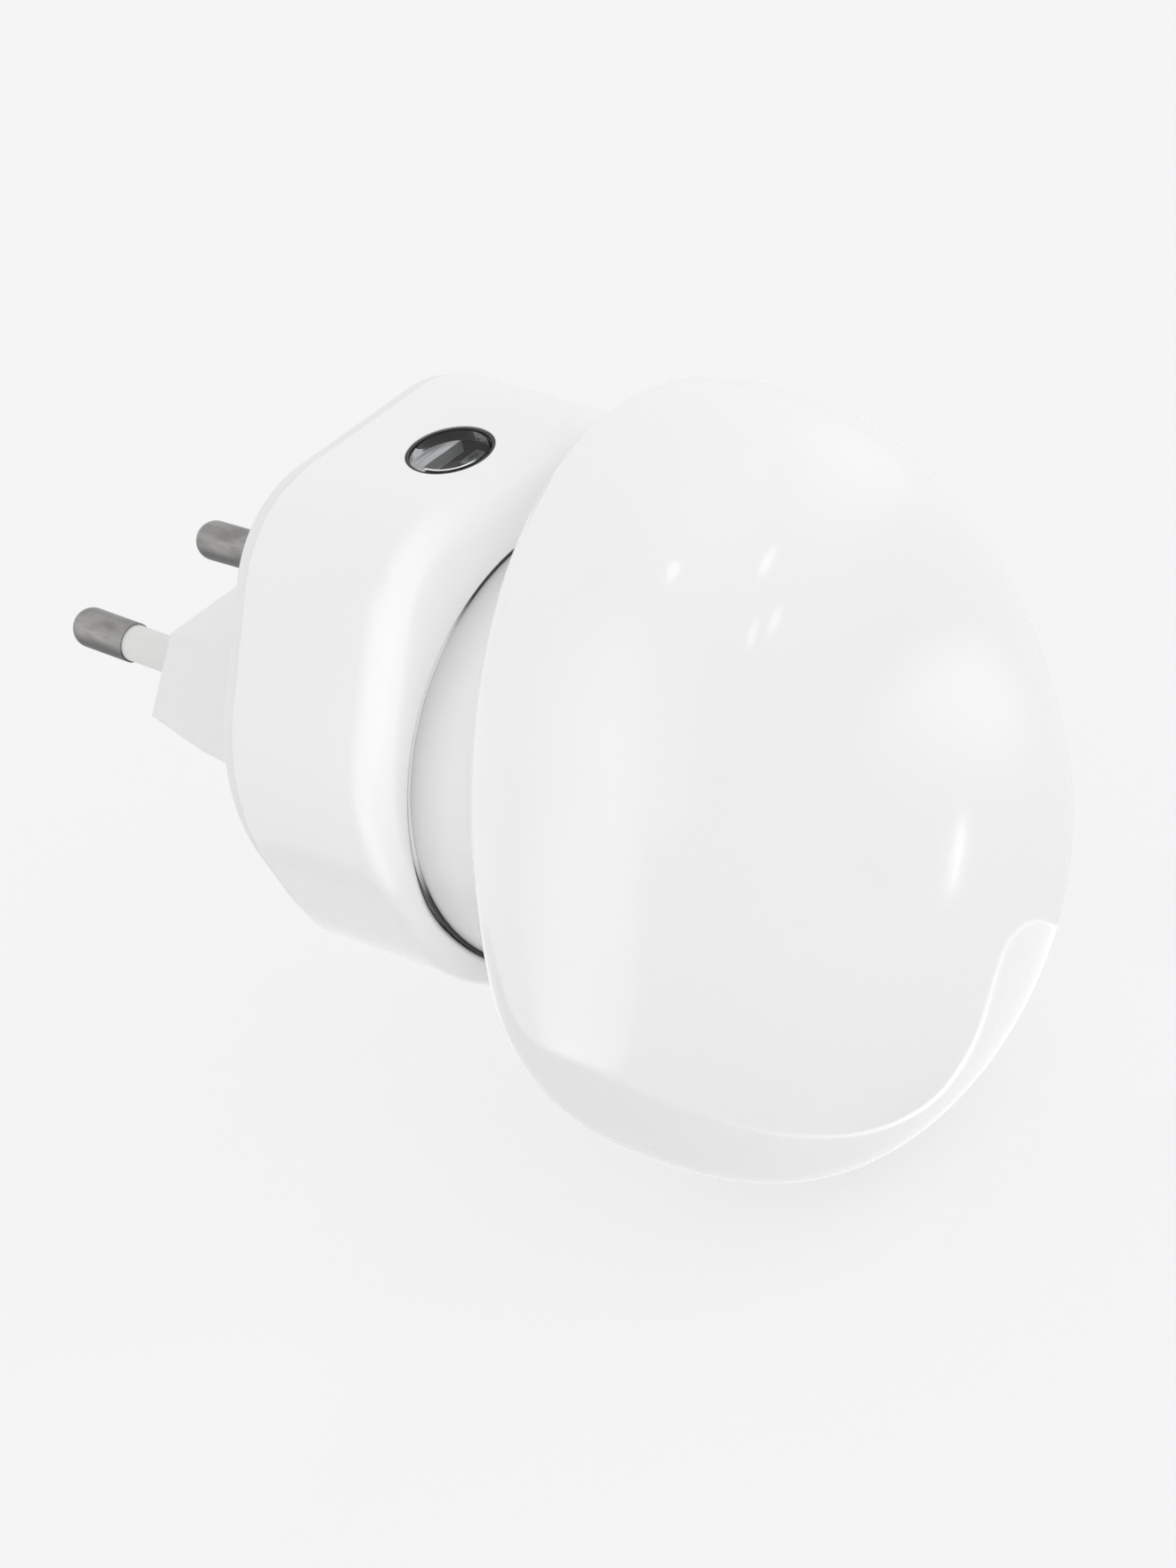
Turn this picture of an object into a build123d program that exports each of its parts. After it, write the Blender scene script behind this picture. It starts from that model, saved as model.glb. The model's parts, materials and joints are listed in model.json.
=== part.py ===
"""Plug-in night light with a swivelling egg-shaped lamp head.

A two-pin plug boss carries a rounded housing with a dusk sensor in its top.
The head turns about the plug axis in a round mouth in the housing's front.

Frame: millimetres, +Z up, +Y into the wall, +X right when facing the lamp.
The origin is the middle of the plug's end face, between the two pins.
A "station" is a distance in front of that face, so it lies at Y = -station.
"""

import os
from math import atan2, cos, degrees, radians, sin

from build123d import *

# ---------------------------------------------------------------------------
# Driving dimensions
# ---------------------------------------------------------------------------

# Two-pin plug boss
plug_half_width = 18.0
plug_flat_half_width = 13.3
plug_half_height = 6.7
plug_reach = 17.5
plug_draft = 6.0
plug_wall = 2.0
plug_end_wall = 2.5
plug_edge_round = 0.5

# Pins and their insulating sleeves
pin_reach = 19.0
pin_radius = 2.0
pin_core_radius = 1.4
pin_base_half_spacing = 9.3
pin_tip_half_spacing = 8.75
pin_flange_radius = 2.6
pin_flange_thickness = 1.5
pin_tail_length = 3.0
sleeve_radius = 1.8
sleeve_reach = 11.0
sleeve_relief_radius = 2.5
sleeve_relief_depth = 0.4

# Housing outline: a hexagon with generous corners, seen from the front
top_height = 27.3
top_half_width = 15.3
top_corner_radius = 12.2
waist_height = 1.3
waist_half_width = 27.4
waist_corner_radius = 23.0
bottom_height = -26.0
bottom_half_width = 17.0
bottom_corner_radius = 19.0

# Housing shell and rear cover
cover_thickness = 1.8
cover_inset = 0.6
cover_edge_round = 0.5
lip_height = 2.5
lip_thickness = 1.2
lip_clearance = 0.1
housing_depth = 19.4
housing_wall = 2.2
front_round = 4.0
rear_edge_round = 0.4

# Round mouth, its recess and the bulkhead that carries the swivel
mouth_height = -2.4
mouth_radius = 22.2
mouth_round = 0.4
recess_depth = 5.0
recess_wall = 1.4
bulkhead_thickness = 2.0

# Swivel
turn_limit = 90.0
journal_radius = 10.0
journal_clearance = 0.05
journal_bore_radius = 6.2
thrust_land_radius = 12.5
thrust_land_height = 0.3
washer_outer_radius = 12.8
washer_clearance = 0.25
washer_thickness = 0.4
ring_radius = 13.0
ring_thickness = 1.6
stop_radius = 15.2
lug_radius = 15.0
lug_half_angle = 6.0
post_half_angle = 4.0
stop_clearance_angle = 0.8
post_height = 1.8
ring_screw_circle = 8.1
ring_screw_count = 3
ring_screw_start = 30.0

# Lamp head
head_station = 60.7
head_height = -9.2
head_half_width = 30.5
head_up = 48.6
head_down = 29.2
head_front_depth = 20.8
head_rear_depth = 14.2
front_fullness = 0.84
rear_fullness = 0.82
dome_wall = 2.0
seam_position = 0.33
seam_groove = 0.3
neck_clearance = 0.35
neck_wall = 2.0
neck_floor = 2.0
neck_blend = 4.0
spigot_length = 4.5
spigot_root = 2.5
spigot_thickness = 1.4
spigot_clearance = 0.15

# Lamp board, light sources and reflector
lamp_board_radius = 19.0
lamp_board_thickness = 1.6
lamp_board_station = 55.6
lamp_post_radius = 2.2
lamp_post_circle = 15.5
lamp_post_count = 3
lamp_post_start = 90.0
led_count = 6
led_circle = 10.5
led_size = 5.0
led_height = 1.6
led_window_radius = 3.9
reflector_thickness = 1.0
reflector_clearance = 0.6
lead_radius = 1.2
lead_socket_depth = 2.0
lead_clearance = 0.1

# Dusk sensor
sensor_station = 30.5
window_radius = 4.3
window_clearance = 0.05
window_recess = 0.05
window_bevel = 0.3
gasket_thickness = 0.3
gasket_recess = 0.1
window_flange_radius = 5.2
window_flange_thickness = 0.8
well_depth = 2.4
well_wall = 0.6
well_clearance = 0.2
well_back_offset = 2.6
well_ledge_depth = 1.1
well_ledge_height = 0.7
photocell_size = (2.4, 2.4, 1.3)
photocell_shift = (2.9, -0.2)
photocell_eye_radius = 0.8
photocell_eye_depth = 0.4
photocell_lead_spacing = 2.54
photocell_lead_radius = 0.5
photocell_lead_bend = 1.4
photocell_lead_offset = 2.6

# Power board and what it carries
board_gap = 4.0
board_thickness = 1.6
board_half_width = 17.0
board_top = 14.0
board_bottom = -14.5
board_post_radius = 2.2
board_post_half_spacing = 14.0
board_post_top = 10.5
board_post_bottom = -11.0
film_capacitor_size = (12.6, 5.4, 11.0)
film_capacitor_x = -7.4
electrolytic_radius = 3.5
electrolytic_length = 11.5
electrolytic_x = 4.2
resistor_radius = 1.5
resistor_length = 8.0
resistor_lead_radius = 0.35
resistor_height = 8.6
bridge_size = (8.0, 6.4, 2.4)
bridge_x = -9.0
bridge_z = 6.0
driver_size = (6.5, 3.5, 1.7)
driver_x = 9.5
driver_z = 6.0
socket_size = (5.0, 4.4, 3.8)

# Contact strips between the pins and the power board
strip_width = 3.0
strip_thickness = 0.4
strip_height = 3.7
strip_step = 2.0

# Screws: shank radius, head radius, head height
small_screw = (0.9, 1.7, 1.0)
cover_screw = (1.25, 2.2, 1.0)
cover_screw_length = 9.0
small_screw_length = 5.0
cover_post_radius = 2.6
top_post_x = 11.0
top_post_z = 19.5
bottom_post_x = 9.0
bottom_post_z = -18.0

# ---------------------------------------------------------------------------
# Stations that follow from them
# ---------------------------------------------------------------------------

joint_station = plug_reach + cover_thickness
housing_front = joint_station + housing_depth
bulkhead_front = housing_front - recess_depth
bulkhead_rear = bulkhead_front - bulkhead_thickness
front_wall_inside = housing_front - housing_wall
ring_front = bulkhead_rear - washer_thickness
ring_rear = ring_front - ring_thickness
board_rear = joint_station + board_gap
board_front = board_rear + board_thickness
neck_end = bulkhead_front + thrust_land_height
neck_radius = mouth_radius - neck_clearance
lamp_board_front = lamp_board_station + lamp_board_thickness
window_top = top_height - window_recess
gasket_inner_radius = window_radius - window_clearance - gasket_thickness
window_seat = top_height - housing_wall
well_top = window_seat - window_flange_thickness
well_bottom = well_top - well_depth
socket_front = board_front + socket_size[2]
pin_tilt = degrees(atan2(pin_base_half_spacing - pin_tip_half_spacing, pin_reach))

cover_screw_spots = [
    (-top_post_x, top_post_z),
    (top_post_x, top_post_z),
    (-bottom_post_x, bottom_post_z),
    (bottom_post_x, bottom_post_z),
]
board_post_spots = [
    (-board_post_half_spacing, board_post_top),
    (board_post_half_spacing, board_post_top),
    (-board_post_half_spacing, board_post_bottom),
    (board_post_half_spacing, board_post_bottom),
]
board_screw_spots = [board_post_spots[0], board_post_spots[3]]

os.makedirs("parts", exist_ok=True)


def at_station(station):
    """Sketch plane facing the room at a station, with local axes X right and Z up."""
    return Plane.XZ.offset(station)


def save(part, name):
    """Label a finished piece and write it as its own STEP file."""
    part.label = name
    export_step(part, f"parts/{name}.step")


# ---------------------------------------------------------------------------
# Outlines that several pieces share
# ---------------------------------------------------------------------------


def housing_outline(inset=0.0):
    """Rounded hexagon of the housing, moved inwards by an inset."""
    with BuildSketch() as outline:
        Polygon(
            (-bottom_half_width, bottom_height),
            (bottom_half_width, bottom_height),
            (waist_half_width, waist_height),
            (top_half_width, top_height),
            (-top_half_width, top_height),
            (-waist_half_width, waist_height),
            align=None,
        )
        corners = outline.vertices().group_by(Axis.Y)
        fillet(corners[2], top_corner_radius)
        corners = outline.vertices().sort_by(Axis.X)
        fillet([corners[0], corners[-1]], waist_corner_radius)
        fillet(outline.vertices().group_by(Axis.Y)[0], bottom_corner_radius)
        if inset:
            offset(amount=-inset)
    return outline.sketch


def plug_outline(inset=0.0):
    """Flattened hexagon of the plug boss, moved inwards by an inset."""
    with BuildSketch() as outline:
        Polygon(
            (-plug_half_width, 0),
            (-plug_flat_half_width, -plug_half_height),
            (plug_flat_half_width, -plug_half_height),
            (plug_half_width, 0),
            (plug_flat_half_width, plug_half_height),
            (-plug_flat_half_width, plug_half_height),
            align=None,
        )
        if inset:
            offset(amount=-inset, kind=Kind.INTERSECTION)
    return outline.sketch


def egg_outline(share=1.0, inset=0.0):
    """Egg of the head: two half ellipses that meet at its widest line."""
    side = head_half_width * share - inset
    up = head_up * share - inset
    down = head_down * share - inset
    with BuildSketch() as outline:
        with BuildLine():
            EllipticalCenterArc((0, head_height), side, up, start_angle=0, arc_size=180)
            EllipticalCenterArc((0, head_height), side, down, start_angle=180, arc_size=180)
        make_face()
    return outline.sketch


def head_profile(inset=0.0):
    """Half section of the head in its widest plane: a full front and rear curve."""
    side = head_half_width - inset
    front = head_front_depth - inset
    rear = head_rear_depth - inset
    front_curve = Bezier(
        (0, -front),
        (front_fullness * side, -front),
        (side, -front_fullness * front),
        (side, 0),
    )
    rear_curve = Bezier(
        (side, 0),
        (side, rear_fullness * rear),
        (rear_fullness * side, rear),
        (0, rear),
    )
    return front_curve, rear_curve


def half_egg(inset, height, keep):
    """Turned half of the head, stretched upwards or downwards to its height."""
    front_curve, rear_curve = head_profile(inset)
    with BuildPart() as half:
        with BuildSketch(Plane.XY):
            with BuildLine():
                add(front_curve)
                add(rear_curve)
                Line(rear_curve @ 1, front_curve @ 0)
            make_face()
        revolve(axis=Axis.Y)
        split(bisect_by=Plane.XY, keep=keep)
        scale(by=(1, 1, (height - inset) / (head_half_width - inset)))
    return half.part


def egg_body(inset=0.0):
    """Whole solid egg of the head, in its place, moved inwards by an inset."""
    upper = half_egg(inset, head_up, Keep.TOP)
    lower = half_egg(inset, head_down, Keep.BOTTOM)
    with BuildPart() as egg:
        with Locations((0, -head_station, head_height)):
            add(upper)
            add(lower)
    return egg.part


seam_point = head_profile()[1] @ seam_position
seam_share = seam_point.X / head_half_width
seam_station = head_station - seam_point.Y
spigot_end = seam_station + spigot_length
spigot_inset = dome_wall + spigot_clearance

outer_egg = egg_body()
inner_egg = egg_body(dome_wall)


def pin_plane(side):
    """Plane on the plug's end face whose normal follows one slightly tilted pin."""
    lean = -side * sin(radians(pin_tilt))
    return Plane(
        origin=(side * pin_base_half_spacing, 0, 0),
        x_dir=(0, 0, 1),
        z_dir=(lean, cos(radians(pin_tilt)), 0),
    )


def screws(spots, under_head, length, size, towards_room):
    """Group of like screws: pan heads on a plane, shanks running along Y."""
    shank_radius, head_radius, head_height_ = size
    direction = 1 if towards_room else -1
    with BuildPart() as group:
        with BuildSketch(at_station(under_head)):
            with Locations(*spots):
                Circle(head_radius)
        extrude(amount=direction * head_height_)
        top = group.faces().sort_by(Axis.Y)
        rim = top[0] if towards_room else top[-1]
        head_plane = rim.center().Y
        chamfer(group.edges().filter_by_position(Axis.Y, head_plane, head_plane), 0.3)
        with BuildSketch(at_station(under_head)):
            with Locations(*spots):
                Circle(shank_radius)
        extrude(amount=-direction * length)
        with BuildSketch(at_station(-head_plane)):
            with Locations(*spots):
                Rectangle(head_radius * 1.3, 0.4)
                Rectangle(0.4, head_radius * 1.3)
        extrude(amount=-direction * head_height_ / 2, mode=Mode.SUBTRACT)
    return group.part


# ---------------------------------------------------------------------------
# Housing: front shell with the mouth, the bulkhead and the sensor opening
# ---------------------------------------------------------------------------

with BuildPart() as housing:
    with BuildSketch(at_station(joint_station)):
        add(housing_outline())
    extrude(amount=housing_depth)
    fillet(housing.faces().sort_by(Axis.Y)[0].edges(), front_round)
    fillet(housing.faces().sort_by(Axis.Y)[-1].edges(), rear_edge_round)

    with BuildSketch(at_station(joint_station)):
        add(housing_outline(housing_wall))
    extrude(amount=bulkhead_rear - joint_station, mode=Mode.SUBTRACT)
    with BuildSketch(at_station(bulkhead_rear)):
        add(housing_outline(housing_wall))
        with Locations((0, mouth_height)):
            Circle(mouth_radius + recess_wall, mode=Mode.SUBTRACT)
    extrude(amount=front_wall_inside - bulkhead_rear, mode=Mode.SUBTRACT)

    # Screw posts run from the rear joint to the front wall or the bulkhead
    with BuildSketch(at_station(joint_station)):
        with Locations(*cover_screw_spots):
            Circle(cover_post_radius)
    extrude(amount=front_wall_inside - joint_station)
    with BuildSketch(at_station(joint_station)):
        with Locations(*cover_screw_spots):
            Circle(cover_screw[0])
    extrude(amount=cover_screw_length, mode=Mode.SUBTRACT)

    # Recess behind the mouth and the journal hole in its floor
    with BuildSketch(at_station(bulkhead_front)):
        with Locations((0, mouth_height)):
            Circle(mouth_radius)
    extrude(amount=recess_depth, mode=Mode.SUBTRACT)
    mouth_edge = housing.edges().filter_by_position(Axis.Y, -housing_front, -housing_front)
    mouth_edge = mouth_edge.filter_by(GeomType.CIRCLE)
    fillet(mouth_edge.filter_by(lambda edge: abs(edge.radius - mouth_radius) < 0.01), mouth_round)
    with BuildSketch(at_station(bulkhead_rear)):
        with Locations((0, mouth_height)):
            Circle(journal_radius)
    extrude(amount=bulkhead_thickness, mode=Mode.SUBTRACT)

    # Two posts behind the bulkhead stop the head's turn
    post_angle = turn_limit + lug_half_angle + post_half_angle + stop_clearance_angle
    with BuildSketch(at_station(bulkhead_rear)):
        for side in (-1, 1):
            middle = 90 + side * post_angle
            start = middle - post_half_angle
            with BuildLine():
                outer_arc = CenterArc((0, mouth_height), stop_radius, start, 2 * post_half_angle)
                inner_arc = CenterArc((0, mouth_height), ring_radius + 0.3, start, 2 * post_half_angle)
                Line(outer_arc @ 0, inner_arc @ 0)
                Line(outer_arc @ 1, inner_arc @ 1)
            make_face()
    extrude(amount=-post_height)

    # Room for the sensor well, kept clear of the recess wall
    with BuildSketch(Plane.XY.offset(well_bottom - well_clearance)):
        with Locations((0, -sensor_station)):
            Circle(window_flange_radius + well_clearance)
    extrude(amount=window_seat - well_bottom + well_clearance, mode=Mode.SUBTRACT)

    # Opening for the sensor window
    with BuildSketch(Plane.XY.offset(window_seat)):
        with Locations((0, -sensor_station)):
            Circle(window_radius)
    extrude(amount=2 * housing_wall, mode=Mode.SUBTRACT)

save(housing.part, "housing")

# ---------------------------------------------------------------------------
# Rear cover: plate, locating lip, plug boss and board posts in one moulding
# ---------------------------------------------------------------------------

with BuildPart() as rear_cover:
    with BuildSketch(at_station(plug_reach)):
        add(housing_outline(cover_inset))
    extrude(amount=cover_thickness)
    fillet(rear_cover.faces().sort_by(Axis.Y)[-1].edges(), cover_edge_round)

    lip_inset = housing_wall + lip_clearance
    with BuildSketch(at_station(joint_station)):
        add(housing_outline(lip_inset))
        add(housing_outline(lip_inset + lip_thickness), mode=Mode.SUBTRACT)
    extrude(amount=lip_height)

    with BuildSketch(at_station(0)):
        add(plug_outline())
    extrude(amount=plug_reach + cover_thickness / 2, taper=-plug_draft)
    end_face = rear_cover.faces().sort_by(Axis.Y)[-1]
    fillet(end_face.edges(), plug_edge_round)
    with BuildSketch(at_station(plug_end_wall)):
        add(plug_outline(plug_wall))
    extrude(amount=joint_station - plug_end_wall, taper=-plug_draft, mode=Mode.SUBTRACT)

    with BuildSketch(at_station(joint_station)):
        with Locations(*board_post_spots):
            Circle(board_post_radius)
    extrude(amount=board_gap)
    with BuildSketch(at_station(board_rear)):
        with Locations(*board_screw_spots):
            Circle(small_screw[0])
    extrude(amount=-(small_screw_length - board_thickness), mode=Mode.SUBTRACT)

    # Counterbored holes for the cover screws
    with BuildSketch(at_station(plug_reach)):
        with Locations(*cover_screw_spots):
            Circle(cover_screw[1] + 0.3)
    extrude(amount=cover_screw[2], mode=Mode.SUBTRACT)
    with BuildSketch(at_station(plug_reach)):
        with Locations(*cover_screw_spots):
            Circle(cover_screw[0])
    extrude(amount=cover_thickness, mode=Mode.SUBTRACT)

    # Holes of the two pins in the end wall, with a shallow relief round each
    # sleeve outside and a flat seat for each flange inside
    with BuildSketch(at_station(0)):
        with Locations((-pin_base_half_spacing, 0), (pin_base_half_spacing, 0)):
            Circle(sleeve_relief_radius)
    extrude(amount=sleeve_relief_depth, mode=Mode.SUBTRACT)
    for side in (-1, 1):
        with BuildSketch(pin_plane(side).offset(-2 * plug_end_wall)):
            Circle(sleeve_radius)
        extrude(amount=4 * plug_end_wall, mode=Mode.SUBTRACT)
        with BuildSketch(pin_plane(side).offset(-plug_end_wall)):
            Circle(pin_flange_radius)
        extrude(amount=-pin_flange_thickness, mode=Mode.SUBTRACT)

save(rear_cover.part, "rear_cover")

# ---------------------------------------------------------------------------
# Pins, sleeves and contact strips
# ---------------------------------------------------------------------------

for side, name in ((-1, "left"), (1, "right")):
    plane = pin_plane(side)
    sleeve_start = plane.offset(-plug_end_wall)

    with BuildPart() as pin:
        with BuildSketch(sleeve_start.offset(-pin_flange_thickness - pin_tail_length)):
            Circle(pin_core_radius)
        extrude(amount=pin_tail_length + pin_flange_thickness + plug_end_wall + sleeve_reach)
        with BuildSketch(sleeve_start):
            Circle(pin_flange_radius)
        extrude(amount=-pin_flange_thickness)
        with BuildSketch(plane.offset(sleeve_reach)):
            Circle(pin_radius)
        extrude(amount=pin_reach - sleeve_reach)
        fillet(pin.edges().sort_by(Axis.Y)[-1], pin_radius * 0.95)
    save(pin.part, f"plug_pin_{name}")

    with BuildPart() as sleeve:
        with BuildSketch(sleeve_start):
            Circle(sleeve_radius)
            Circle(pin_core_radius, mode=Mode.SUBTRACT)
        extrude(amount=plug_end_wall + sleeve_reach)
    save(sleeve.part, f"pin_sleeve_{name}")

    # The strip lies on the pin's tail, steps up and runs on to the board
    tail_start = plug_end_wall + pin_flange_thickness
    grip_end = tail_start + pin_tail_length
    with BuildPart() as strip:
        with BuildSketch(Plane.YZ.offset(side * pin_base_half_spacing - strip_width / 2)):
            with BuildLine():
                centre_line = Polyline(
                    (-tail_start - 0.2, pin_core_radius + strip_thickness / 2),
                    (-grip_end, pin_core_radius + strip_thickness / 2),
                    (-grip_end - strip_step, strip_height),
                    (-board_rear, strip_height),
                )
            trace(line_width=strip_thickness)
        extrude(amount=strip_width)
        split(bisect_by=at_station(board_rear), keep=Keep.BOTTOM)
    save(strip.part, f"contact_strip_{name}")

# ---------------------------------------------------------------------------
# Power board and its parts
# ---------------------------------------------------------------------------

with BuildPart() as power_board:
    board_height = board_top - board_bottom
    with BuildSketch(at_station(board_rear)):
        with Locations((0, (board_top + board_bottom) / 2)):
            RectangleRounded(2 * board_half_width, board_height, 2)
        with Locations(*board_screw_spots):
            Circle(small_screw[0], mode=Mode.SUBTRACT)
    extrude(amount=board_thickness)
save(power_board.part, "power_board")

save(
    screws(board_screw_spots, board_front, small_screw_length, small_screw, True),
    "board_screws",
)

with BuildPart() as film_capacitor:
    width, thickness, height = film_capacitor_size
    with BuildSketch(at_station(board_rear)):
        with Locations((film_capacitor_x, 0)):
            Rectangle(width, thickness)
    extrude(amount=-height)
    fillet(film_capacitor.edges().filter_by(Axis.Y), 0.8)
save(film_capacitor.part, "film_capacitor")

with BuildPart() as electrolytic:
    with BuildSketch(at_station(board_rear)):
        with Locations((electrolytic_x, 0)):
            Circle(electrolytic_radius)
    extrude(amount=-electrolytic_length)
    fillet(electrolytic.faces().sort_by(Axis.Y)[-1].edges(), 0.5)
save(electrolytic.part, "electrolytic_capacitor")

for name, height in (("fusible_resistor", resistor_height), ("bleed_resistor", -resistor_height)):
    axis_station = board_rear - resistor_radius - 0.3
    with BuildPart() as resistor:
        with BuildSketch(Plane.YZ.offset(-resistor_length / 2)):
            with Locations((-axis_station, height)):
                Circle(resistor_radius)
        extrude(amount=resistor_length)
        chamfer(resistor.edges().filter_by(GeomType.CIRCLE), 0.5)
        for end in (-1, 1):
            reach = resistor_length / 2 + 1.5
            with BuildSketch(Plane.YZ.offset(end * resistor_length / 2)):
                with Locations((-axis_station, height)):
                    Circle(resistor_lead_radius)
            extrude(amount=end * 1.5)
            with BuildSketch(at_station(axis_station)):
                with Locations((end * reach, height)):
                    Circle(resistor_lead_radius)
            extrude(amount=board_rear - axis_station)
    save(resistor.part, name)

chips = (
    ("bridge_rectifier", bridge_size, bridge_x, bridge_z),
    ("driver_chip", driver_size, driver_x, driver_z),
)
for name, size, x, z in chips:
    with BuildPart() as chip:
        with BuildSketch(at_station(board_front)):
            with Locations((x, z)):
                Rectangle(size[0], size[1])
        extrude(amount=size[2])
        chamfer(chip.faces().sort_by(Axis.Y)[0].edges(), 0.25)
    save(chip.part, name)

with BuildPart() as lead_socket:
    with BuildSketch(at_station(board_front)):
        with Locations((0, mouth_height)):
            Rectangle(socket_size[0], socket_size[1])
    extrude(amount=socket_size[2])
    chamfer(lead_socket.faces().sort_by(Axis.Y)[0].edges(), 0.25)
    with BuildSketch(at_station(socket_front)):
        with Locations((0, mouth_height)):
            Circle(lead_radius + lead_clearance)
    extrude(amount=-lead_socket_depth, mode=Mode.SUBTRACT)
save(lead_socket.part, "lead_socket")

# ---------------------------------------------------------------------------
# Cover screws
# ---------------------------------------------------------------------------

cover_screw_seat = plug_reach + cover_screw[2]
save(
    screws(cover_screw_spots, cover_screw_seat, cover_screw_length, cover_screw, False),
    "cover_screws",
)

# ---------------------------------------------------------------------------
# Dusk sensor: window, well, photocell and its leads
# ---------------------------------------------------------------------------

with BuildPart() as sensor_window:
    with BuildSketch(Plane.XY.offset(window_seat)):
        with Locations((0, -sensor_station)):
            Circle(gasket_inner_radius - window_clearance)
    extrude(amount=window_top - window_seat)
    chamfer(sensor_window.faces().sort_by(Axis.Z)[-1].edges(), window_bevel)
    with BuildSketch(Plane.XY.offset(window_seat)):
        with Locations((0, -sensor_station)):
            Circle(window_flange_radius)
    extrude(amount=-window_flange_thickness)
save(sensor_window.part, "sensor_window")

with BuildPart() as window_gasket:
    with BuildSketch(Plane.XY.offset(window_seat)):
        with Locations((0, -sensor_station)):
            Circle(window_radius - window_clearance)
            Circle(gasket_inner_radius, mode=Mode.SUBTRACT)
    extrude(amount=top_height - gasket_recess - window_seat)
save(window_gasket.part, "window_gasket")

lead_half_spacing = photocell_lead_spacing / 2
lead_spots = [
    (-lead_half_spacing, -sensor_station + photocell_lead_offset),
    (lead_half_spacing, -sensor_station + photocell_lead_offset),
]

with BuildPart() as sensor_well:
    with BuildSketch(Plane.XY.offset(well_bottom)):
        with Locations((0, -sensor_station)):
            Circle(window_flange_radius)
    extrude(amount=well_depth)
    # Two cuts leave a flat back wall with a ledge at its foot
    well_floor = well_bottom + well_wall
    well_bore = window_flange_radius - well_wall
    ledge_front = well_back_offset - well_ledge_depth
    cuts = ((well_floor, ledge_front), (well_floor + well_ledge_height, well_back_offset))
    for cut_floor, back in cuts:
        with BuildSketch(Plane.XY.offset(cut_floor)):
            with Locations((0, -sensor_station)):
                Circle(well_bore)
            with Locations((0, -sensor_station + back + well_bore)):
                Rectangle(2 * well_bore, 2 * well_bore, mode=Mode.SUBTRACT)
        extrude(amount=well_top - cut_floor, mode=Mode.SUBTRACT)
save(sensor_well.part, "sensor_well")

with BuildPart() as photocell:
    photocell_top = well_floor + photocell_size[2]
    photocell_spot = (photocell_shift[0], photocell_shift[1] - sensor_station)
    with BuildSketch(Plane.XY.offset(well_floor)):
        with Locations(photocell_spot):
            Rectangle(photocell_size[0], photocell_size[1])
    extrude(amount=photocell_size[2])
    chamfer(photocell.faces().sort_by(Axis.Z)[-1].edges(), 0.25)
    with BuildSketch(Plane.XY.offset(photocell_top)):
        with Locations(photocell_spot):
            Circle(photocell_eye_radius)
    extrude(amount=-photocell_eye_depth, mode=Mode.SUBTRACT)
save(photocell.part, "photocell")

with BuildPart() as sensor_leads:
    board_pad_height = board_top - 2.0
    for x, y in lead_spots:
        with BuildLine() as route:
            FilletPolyline(
                (x, y, well_bottom),
                (x, y, board_pad_height),
                (x, -board_front, board_pad_height),
                radius=photocell_lead_bend,
            )
        with BuildSketch(Plane(origin=(x, y, well_bottom), z_dir=(0, 0, -1))):
            Circle(photocell_lead_radius)
        sweep(path=route.line)
save(sensor_leads.part, "sensor_leads")

# ---------------------------------------------------------------------------
# Head back: rear of the egg, round neck, journal and lamp posts
# ---------------------------------------------------------------------------

seam_plane = at_station(seam_station)
spigot_egg = egg_body(spigot_inset)
spigot_bore_egg = egg_body(spigot_inset + spigot_thickness)

with BuildPart(mode=Mode.PRIVATE) as spigot:
    add(spigot_egg)
    split(bisect_by=seam_plane, keep=Keep.TOP)
    split(bisect_by=at_station(spigot_end), keep=Keep.BOTTOM)

with BuildPart(mode=Mode.PRIVATE) as rear_hollow:
    add(inner_egg)
    split(bisect_by=at_station(seam_station - spigot_root), keep=Keep.BOTTOM)

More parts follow.
